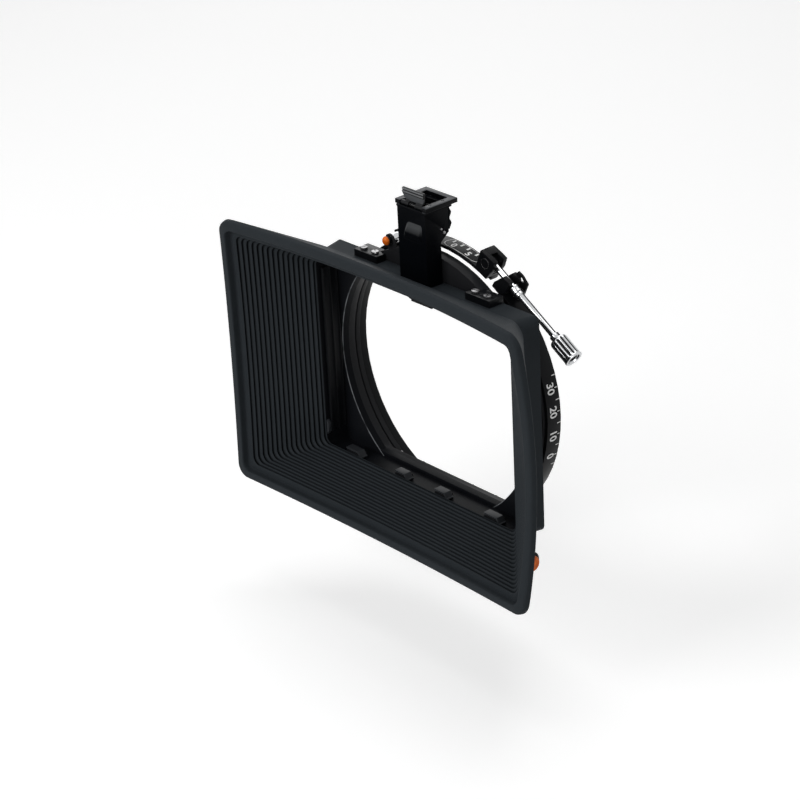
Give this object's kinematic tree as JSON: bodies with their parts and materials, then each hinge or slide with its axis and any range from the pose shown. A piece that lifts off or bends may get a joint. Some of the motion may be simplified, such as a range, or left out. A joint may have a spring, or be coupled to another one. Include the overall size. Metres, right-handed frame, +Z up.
{
  "type": "matte box",
  "caption": "Clamp-on matte box: wide ribbed lens hood with a filter stage, a turning stage plate in a split clamp ring with a swing screw, and a socket tower on top.",
  "frame": {"origin": "centre of the clamp ring bore at its rear face, where the lens front enters", "axes": "+X to the right seen from the front, +Y back towards the lens along the optical axis, +Z up"},
  "size_m": [0.2332, 0.0644, 0.1875],
  "materials": {
    "moulding": "fine spark-eroded texture, matte black",
    "stage_metal": "black anodised, satin",
    "ring_metal": "black anodised, satin, turned",
    "block_metal": "black anodised, satin",
    "tower_metal": "black anodised, satin",
    "rail_plastic": "black moulded plastic",
    "catch_plastic": "dark grey moulded plastic, slightly glossy",
    "chrome": "bright plated",
    "steel": "turned steel",
    "orange": "orange moulded plastic"
  },
  "bodies": {
    "clamp_ring": {"clamp_ring": "ring_metal", "retaining_wire": "steel"},
    "stage": {"hood": "moulding", "stage_plate": "stage_metal", "tray_rail_left": "rail_plastic", "tray_rail_right": "rail_plastic", "top_catch": "rail_plastic", "side_catch": "catch_plastic", "bridge_block_left": "block_metal", "bridge_block_right": "block_metal", "tower_body": "tower_metal", "tower_frame": "tower_metal", "latch_pin": "steel", "latch_spring": "steel", "lever_pin": "steel", "lever_spring": "steel", "lock_barrel": "chrome", "lock_spring": "steel", "button_collar": "rail_plastic", "button_spring": "steel", "tray_catch_1": "catch_plastic", "tray_catch_2": "catch_plastic", "tray_catch_3": "catch_plastic", "tray_catch_4": "catch_plastic", "plate_screw_1": "steel", "plate_screw_2": "steel", "plate_screw_3": "steel", "plate_screw_4": "steel", "plate_screw_5": "steel", "plate_screw_6": "steel", "plate_screw_7": "steel", "plate_screw_8": "steel", "bridge_screw_1": "chrome", "bridge_screw_2": "chrome", "bridge_screw_3": "chrome", "bridge_screw_4": "chrome", "frame_pin_1": "steel", "frame_pin_2": "steel", "frame_pin_3": "steel", "frame_pin_4": "steel", "spring_pin": "steel", "tower_screw_1": "steel", "tower_screw_2": "steel"},
    "latch_flap": {"latch_flap": "tower_metal"},
    "thumb_lever": {"thumb_lever": "tower_metal"},
    "lock_plunger": {"lock_pin": "steel", "lock_collar": "rail_plastic", "lock_knob": "orange"},
    "tray_button": {"tray_button": "orange"},
    "clamp_trunnion": {"clamp_trunnion": "steel"},
    "thrust_collar": {"thrust_collar": "chrome"},
    "clamp_screw": {"clamp_screw": "chrome", "clamp_grip": "chrome"}
  },
  "joints": [
    {"name": "stage_rotation", "type": "hinge", "parent": "clamp_ring", "child": "stage", "pos_m": [0, -0.0093, 0], "axis": [0, 1, 0], "range_deg": [-90, 45]},
    {"name": "screw_swing", "type": "hinge", "parent": "clamp_ring", "child": "clamp_trunnion", "pos_m": [0.0338, -0.0045, 0.074], "axis": [0, -1, 0], "range_deg": [0, 75]},
    {"name": "screw_travel", "type": "slide", "parent": "clamp_trunnion", "child": "thrust_collar", "axis": [0.8434, 0, -0.5373], "range_m": [0, 0.002]},
    {"name": "screw_turn", "type": "hinge", "parent": "thrust_collar", "child": "clamp_screw", "pos_m": [0.0338, -0.0045, 0.074], "axis": [0.8434, 0, -0.5373], "range_deg": [0, 1440]},
    {"name": "latch_tilt", "type": "hinge", "parent": "stage", "child": "latch_flap", "pos_m": [0, -0.0254, 0.1013], "axis": [1, 0, 0], "range_deg": [0, 35], "stiffness_Nm_per_rad": 0.02, "springref_deg": -20.05},
    {"name": "lever_pull", "type": "hinge", "parent": "stage", "child": "thumb_lever", "pos_m": [0, -0.0141, 0.0858], "axis": [-1, 0, 0], "range_deg": [0, 15], "stiffness_Nm_per_rad": 0.06, "springref_deg": -17.19},
    {"name": "lock_pull", "type": "slide", "parent": "stage", "child": "lock_plunger", "axis": [0, -1, 0], "range_m": [0, 0.0016], "stiffness_N_per_m": 900, "springref_m": -0.002, "deforming": ["lock_spring"]},
    {"name": "button_press", "type": "slide", "parent": "stage", "child": "tray_button", "axis": [-1, 0, 0], "range_m": [0, 0.0014], "stiffness_N_per_m": 600, "springref_m": -0.002, "deforming": ["button_spring"]}
  ],
  "couplings": [
    {"joint": "screw_travel", "follows": "screw_turn", "m_per_rad": 0.000079577}
  ]
}
